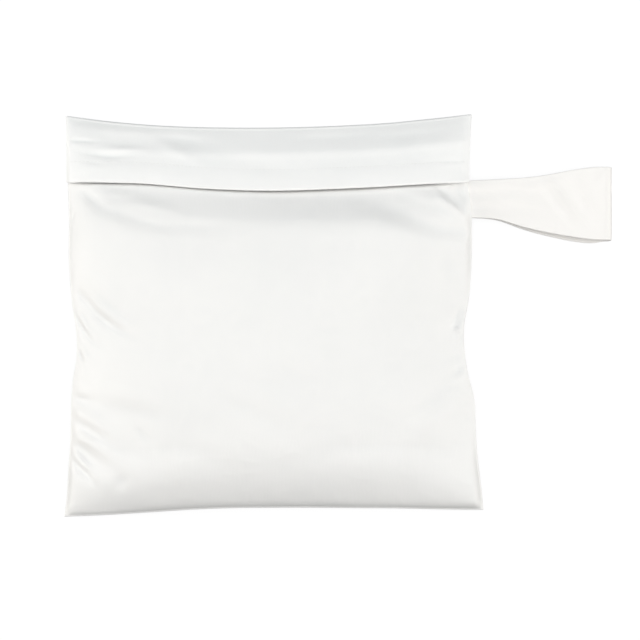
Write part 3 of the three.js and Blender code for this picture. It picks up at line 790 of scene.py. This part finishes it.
# The fold at the top edge is half a circle: its radius, and the height of its centre, which is the seam's
# at the sides and lets the fold rest on the table between them.
def foldAt(across):
    opened = easeIn(fromSide(across), pouch["seamRoll"])
    radius = flap["tightRadius"] + (flap["foldRadius"] - flap["tightRadius"]) * opened
    centre = seamLevel(across, np.ones_like(across)) * (1 - opened) + flap["foldRadius"] * opened
    return radius, centre


# Height of the leaf's outer face: level over the front panel's hem, then a straight slope down to the fold,
# with a soft corner where t, the share of the slope, reaches 1.
def leafHeight(across, down):
    radius, centre = foldAt(across)
    lift = flap["lift"] * flapOpening(across)
    layers = 1 + np.minimum(lift / mm, 1)
    onPanel = upBelow(across, np.maximum(down, pouch["mouthSetback"]))
    towardsEdge = smoothStep(down, pouch["mouthSetback"], pouch["flapDepth"])
    standing = lift * (flap["mouthLift"] + (1 - flap["mouthLift"]) * towardsEdge) + flap["gap"]
    over = frontHeight(across, onPanel, False) + standing + pouch["solidCloth"] * layers
    t = (down - radius) / (pouch["mouthSetback"] - radius)
    ramp = -softMaximum(-t, -1, flap["bendRoom"]) + 0.02 * smoothStep(t, 0.5, 1.2)
    slope = np.clip(np.where(t > 1.6, 1, ramp), 0, 1)
    level = centre + radius + (over - centre - radius) * slope
    side = fromSide(across)
    x, y = flapX(across, down), topEdge(across) - down
    detail = foldHeights(inFrame(flapFolds), x, y) + limpness(x, y, flap["limpness"], 81)
    detail += puckers(y, side, 8 * mm, 5 * mm, 0.4 * mm, 91)
    aboveEdge = flapDepthAt(across) - down
    detail -= flap["stitchDip"] * np.exp(-(((aboveEdge - pouch["hem"]) / (1.1 * mm)) ** 2))
    detail -= flap["droop"] * flapOpening(across) * (1 - easeIn(aboveEdge, flap["droopReach"]))
    return level + detail * smoothStep(side, -1 * mm, 6 * mm) * smoothStep(down, radius, radius + 8 * mm)


# Part of the flap's outer grid, from its distances below the top edge and its heights
def flapGrid(across, down, height):
    wide = np.broadcast_to(across, down.shape)
    return np.stack([flapX(wide, down), topEdge(wide) - down, np.broadcast_to(height, down.shape)], 2)


# The sheet runs up the leaf, round the fold on a circle, and down the short back leaf. Its hem is a second
# layer inside the lower edge.
def makeFlap():
    across = crowded(flap["acrossSteps"])[:, None]
    radius, centre = foldAt(across)
    depth = flapDepthAt(across)
    leafDown = depth + (radius - depth) * crowded(flap["leafSteps"], 0.3)[None, :]
    leaf = flapGrid(across, leafDown, leafHeight(np.broadcast_to(across, leafDown.shape), leafDown))
    turns = np.radians(90 - np.linspace(0, 180, flap["foldSteps"] + 1)[1:])[None, :]
    fold = flapGrid(across, radius - radius * np.cos(turns), centre + radius * np.sin(turns))
    backDown = radius + (flap["backDepth"] - radius) * np.linspace(0, 1, flap["backSteps"] + 1)[None, 1:]
    outer = np.concatenate([leaf, fold, flapGrid(across, backDown, centre - radius)], 1)
    fromEdge = np.full(outer.shape[:2], pouch["height"])  # off the leaf there is no hem
    fromEdge[:, :leafDown.shape[1]] = depth - leafDown
    layers = 1 + (hemLayers(fromEdge) - 1) * np.minimum(flap["lift"] * flapOpening(across) / mm, 1)
    inner = outer - gridNormals(outer) * (layers * pouch["cloth"])[:, :, None]
    outer, inner = (grid[:, ::-1] for grid in roundOff(outer[:, ::-1], inner[:, ::-1], (0, -1, 0)))
    tuck = np.arange(1, pouch["lipSteps"] + 1)[:, None, None] * pouch["lipTuck"]
    normals = gridNormals(outer)
    leftLip = addLip(outer[0], normals[0], (-1, 0, 0), flap["lip"])
    rightLip = addLip(outer[-1], normals[-1], (1, 0, 0), flap["lip"])
    outer = np.concatenate([leftLip[::-1], outer, rightLip])
    inner = np.concatenate([(inner[0] - [1, 0, 0] * tuck)[::-1], inner, inner[-1] + [1, 0, 0] * tuck])
    travel = np.linalg.norm(np.diff(outer, axis=1), axis=2).cumsum(1)
    travel = np.concatenate([np.zeros((len(outer), 1)), travel], 1)
    uv = np.stack([outer[:, :, 0], travel], 2)
    return clothMesh("flap_cloth", outer, inner, [materials["flapFacePaintedLight"], materials["film"]], uv)


flapCloth = makeFlap()
print("flap made:", len(flapCloth.data.polygons), "faces")

# Strap loop

strap = {
    "length": strapHigh.x - float(rightEdge(np.array(strapRoot["up"]))) + 2 * mm,
    "endWidth": 51 * mm,
    "endAbove": 0.44,
    "loopHeight": 9.4 * mm,
    "tail": 10 * mm,
    "tailSteps": 8,  # the counts along the strap add up to an odd number
    "layerGap": 0.3 * mm,
    "cloth": 1.1 * mm,
    "alongSteps": 110,
    "bendSteps": 14,
    "widthSteps": 44,
    "limpness": 0.5 * mm,
}
strapShape = {
    "along": [0, 0.2, 0.4, 0.55, 0.75, 0.9, 1],
    "high": [0, 0.1, 0.21, 0.39, 0.76, 0.97, 1],
    "low": [0, 0.075, 0.43, 0.64, 0.86, 0.98, 1],
    "under": [0, 0.006, 0.022, 0.036, 0.05, 0.045, 0.015],
    "upper": [0, 0.27, 0.68, 0.98, 1.2, 1.14, 1],
    "lower": [0, 0.5, 0.9, 1, 1, 1, 1],
}
# Folds of the upper layer
strapFolds = [
    (557, 205, 10, -51, 24, 4.6, 1.3, 0, 0.2),
    (567, 201, 10, -55, 22, 3.4, -0.8, 0, 0.1),
    (582, 200, 10, -58, 18, 4.2, 1, 0, 0.1),
    (513, 190, 8, -6, 18, 3.2, 0.5, 0, 0, 0.2),
    (516, 206, 8, -14, 18, 3.2, 0.6, 0, 0.1, 0.2),
    (546, 183, 10, 12, 16, 3, -0.5),
    (600, 178, 10, 60, 7, 3.4, -0.6),
]


# The path of the strap's middle, x and z of each row: out along the upper layer, round half a circle and back
# along the lower one, with a tail in the seam at each end. share is how far out a row is, and upper and under
# are how much of it belongs to each layer.
def strapPath():
    rootX = float(rightEdge(np.array(strapRoot["up"])))
    level = float(seamLevel(np.array(1.0), np.array(strapRoot["up"])))
    half, middle = strap["cloth"] / 2, strap["loopHeight"] / 2
    stacked = (strap["layerGap"] + strap["cloth"]) / 2
    along = np.linspace(0, 1, strap["alongSteps"] + 1)
    shape = lambda column: readTable(strapShape, "along", column, along)
    upperZ = level + stacked + (strap["loopHeight"] - half - level - stacked) * shape("upper")
    lowerZ = np.maximum(level - stacked + (half - level + stacked) * shape("lower"), half)
    outward = rootX + along * (strap["length"] - middle)
    turns = np.radians(90 - 180 * np.arange(1, strap["bendSteps"]) / strap["bendSteps"])
    bendX = outward[-1] + (middle - half) * np.cos(turns)
    bendZ = middle + (middle - half) * np.sin(turns)
    tail = rootX + np.linspace(-strap["tail"], 0, strap["tailSteps"] + 1)[:-1]
    none, ones = np.zeros(len(tail)), np.ones(len(along))
    x = np.concatenate([tail, outward, bendX, outward[::-1], tail[::-1]])
    z = np.concatenate([none + upperZ[0], upperZ, bendZ, lowerZ[::-1], none + lowerZ[0]])
    share = np.concatenate([none, along, np.ones(len(turns)), along[::-1], none])
    upper = np.concatenate([none, ones, np.linspace(1, 0, len(turns)), 0 * ones, none])
    under = np.concatenate([none, 0 * ones, np.linspace(0, 1, len(turns) + 2)[1:-1], ones, none])
    return x, z, share[:, None], upper[:, None], under[:, None]


# The strap is its path times its width, which grows from the seam to the end of the loop, bent by soft folds
# that are kept small where the layers lie close.
def makeStrap():
    x, z, share, upper, under = strapPath()
    half = strap["cloth"] / 2
    shape = lambda column: readTable(strapShape, "along", column, share)
    above, below = strap["endWidth"] * strap["endAbove"], strap["endWidth"] * (1 - strap["endAbove"])
    rootHalf = strapRoot["width"] / 2
    top = strapRoot["y"] + rootHalf + (above - rootHalf) * shape("high")
    bottom = strapRoot["y"] - rootHalf - (below - rootHalf) * shape("low")
    bottom -= under * strap["endWidth"] * shape("under")
    rows = crowded(strap["widthSteps"], 0.7)[None, :]
    grid = np.stack(np.broadcast_arrays(x[:, None], bottom + (top - bottom) * rows, z[:, None]), 2)
    normals = gridNormals(grid)
    free = smoothStep(share, 0.02, 0.45)
    dents = foldHeights(inFrame(strapFolds), grid[:, :, 0], grid[:, :, 1])
    otherPlace = grid[:, :, 1] + (1 - upper) * 0.3  # so that the two layers are limp in different ways
    limp = limpness(grid[:, :, 0], otherPlace, strap["limpness"], 101)
    pleats = 0.35 * mm * np.sin(rows * 2 * np.pi * 2.5 + 0.6) * np.exp(-((share / 0.3) ** 2))
    middle = grid + normals * ((dents * upper + limp) * (0.15 + 0.85 * free))[:, :, None]
    middle[:, :, 2] = np.maximum(middle[:, :, 2] + pleats, half + 0.02 * mm)
    outer, inner = roundOff(middle + normals * half, middle - normals * half, (0, 1, 0))
    outer, inner = roundOff(outer[:, ::-1], inner[:, ::-1], (0, -1, 0))
    travel = np.concatenate([[0], np.hypot(np.diff(x), np.diff(z)).cumsum()])
    uv = np.stack([outer[:, :, 1], np.broadcast_to(travel[:, None], outer.shape[:2])], 2)
    return clothMesh("strap_loop_cloth", outer, inner, [materials["strapFacePaintedLight"], materials["strapFacePaintedLight"]], uv)


strapCloth = makeStrap()
print("strap made:", len(strapCloth.data.polygons), "faces")

# Stitches

stitch = {
    "pitch": 2.9 * mm,
    "length": 2.2 * mm,
    "thick": 0.32 * mm,
    "proud": 0.2,  # in thicknesses, how far its middle stands off the cloth
    "bow": 0.5,  # and how much lower its ends are
    "rings": 7,
    "sides": 6,
}


# A row of thread: each stitch is a bowed, round-ended tube, (t, 1 - t^2) along the seam.
def makeStitches(name, points, normals, material):
    step = np.linalg.norm(np.diff(points, axis=0), axis=1)
    travel = np.concatenate([[0], step.cumsum()])
    count = int(travel[-1] / stitch["pitch"])
    centres = (np.arange(count) + 0.5) * travel[-1] / count
    pick = lambda values, at: np.stack([np.interp(at, travel, values[:, k]) for k in range(3)], 1)
    middle, normal = pick(points, centres), pick(normals, centres)
    tangent = pick(points, centres + 0.5 * mm) - pick(points, centres - 0.5 * mm)
    tangent /= np.linalg.norm(tangent, axis=1, keepdims=True)
    aside = np.cross(normal, tangent)
    aside /= np.linalg.norm(aside, axis=1, keepdims=True)
    normal = np.cross(tangent, aside)
    t = np.linspace(-1, 1, stitch["rings"])[:, None]
    angle = np.linspace(0, 2 * np.pi, stitch["sides"], endpoint=False)[None, :]
    radius = stitch["thick"] / 2 * np.sqrt(np.maximum(1 - np.abs(t) ** 4, 0.03))
    length = t * stitch["length"] / 2 + 0 * angle
    width = radius * np.cos(angle)
    height = radius * np.sin(angle) + (stitch["proud"] - stitch["bow"] * t**2) * stitch["thick"]
    local = np.stack([length, width, height], 2).reshape(-1, 3)
    axes = np.stack([tangent, aside, normal], 1)
    vertices = middle[:, None, :] + np.einsum("vk,nkj->nvj", local, axes)
    n, s = stitch["rings"], stitch["sides"]
    ring = np.arange(n * s).reshape(n, s)
    after = np.roll(ring, -1, 1)
    tube = np.stack([ring[:-1], after[:-1], after[1:], ring[1:]], 2).reshape(-1, 4)
    nearEnd, farEnd = ring[0], ring[-1]
    caps = [nearEnd[[3, 2, 1, 0]], nearEnd[[0, 5, 4, 3]], farEnd[[0, 1, 2, 3]], farEnd[[3, 4, 5, 0]]]
    one = np.concatenate([tube, caps])
    faces = (one[None] + (np.arange(count) * n * s)[:, None, None]).reshape(-1, 4)
    points = vertices.reshape(-1, 3)
    if signedVolume(points, faces) < 0:
        faces = faces[:, ::-1]
    mesh = bpy.data.meshes.new(name)
    mesh.from_pydata(points.tolist(), [], faces.tolist())
    mesh.polygons.foreach_set("use_smooth", np.ones(len(faces), bool))
    flatUv = points[faces.ravel(), :2].astype("float32")
    mesh.uv_layers.new(name="cloth").uv.foreach_set("vector", flatUv.ravel())
    mesh.materials.append(material)
    return addObject(name, mesh)


def flapStitches():
    across = np.linspace(0.008, 0.992, 400)
    down = flapDepthAt(across) - pouch["hem"]
    points = np.stack([flapX(across, down), topEdge(across) - down, leafHeight(across, down)], 1)
    normals = np.tile([0.0, 0.0, 1.0], (len(points), 1))
    return makeStitches("flap_stitches", points, normals, materials["thread"])


flapThread = flapStitches()
print("stitches made")

# Riding and replacing

dressing = {
    frontCloth: ("front_panel", "pouch_cloth"),
    backCloth: ("back_panel", "pouch_cloth"),
    flapCloth: ("flap", "flap_cloth"),
    strapCloth: ("strap_loop", "strap_cloth"),
}
for piece, (node, slot) in dressing.items():
    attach(piece, "root")
    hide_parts(node)
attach(flapThread, "root")

# Floor and light

studio = {
    "floorGlow": 0.9,  # what the floor shows to the camera beyond the light that falls on it
    "floorWhite": 0.14,
    "sky": {"strength": 0.17, "color": (0.88, 0.95, 1.0)},
    "boxes": {
        # power in watts, width and length, place, and colour
        "leftBox": (5.3, (0.8, 0.4), (-0.95, -0.02, 0.34), (1.0, 0.965, 0.915)),
        "rightBox": (4.9, (0.8, 0.4), (1.05, -0.12, 0.34), (1.0, 0.97, 0.925)),
        "topBox": (10.5, (1.3, 1.3), (0.1, 0.0, 1.15), (1.0, 0.98, 0.96)),
        "farBox": (1.95, (1.4, 0.5), (0.0, 1.0, 0.9), (0.78, 0.92, 1.0)),
    },
}


def addFloor():
    mesh = bpy.data.meshes.new("floor")
    reach, drop = 6.0, -0.3 * mm
    corners = [(-reach, -reach, drop), (reach, -reach, drop), (reach, reach, drop), (-reach, reach, drop)]
    mesh.from_pydata(corners, [], [(0, 1, 2, 3)])
    material = bpy.data.materials.new("paleFloor")
    material.use_nodes = True
    tree = material.node_tree
    shader = tree.nodes["Principled BSDF"]
    shader.inputs["Base Color"].default_value = (*[studio["floorWhite"]] * 3, 1)
    shader.inputs["Roughness"].default_value = 0.9
    shader.inputs["Specular IOR Level"].default_value = 0.0
    shader.inputs["Emission Color"].default_value = (1, 1, 1, 1)
    seen = tree.nodes.new("ShaderNodeLightPath")
    glow = mathNode(tree, "MULTIPLY", seen.outputs["Is Camera Ray"], studio["floorGlow"])
    tree.links.new(glow, shader.inputs["Emission Strength"])
    mesh.materials.append(material)
    addObject("floor", mesh)


# Each box turns its face to the middle of the bag.
def addLights():
    for name, (power, size, place, color) in studio["boxes"].items():
        lamp = bpy.data.lights.new(name, "AREA")
        lamp.shape = "RECTANGLE"
        lamp.size, lamp.size_y = size
        lamp.energy, lamp.color = power, color
        holder = addObject(name, lamp)
        holder.location = place
        x, y, z = place
        holder.rotation_euler = (float(np.arctan2(np.hypot(x, y), z)), 0, float(np.arctan2(x, -y)))
    world = bpy.data.worlds.new("room")
    world.use_nodes = True
    sky = world.node_tree.nodes["Background"]
    sky.inputs["Color"].default_value = (*studio["sky"]["color"], 1)
    sky.inputs["Strength"].default_value = studio["sky"]["strength"]
    bpy.context.scene.world = world


addFloor()
addLights()
bpy.context.scene.view_settings.view_transform = "Standard"
print("floor and lights made")
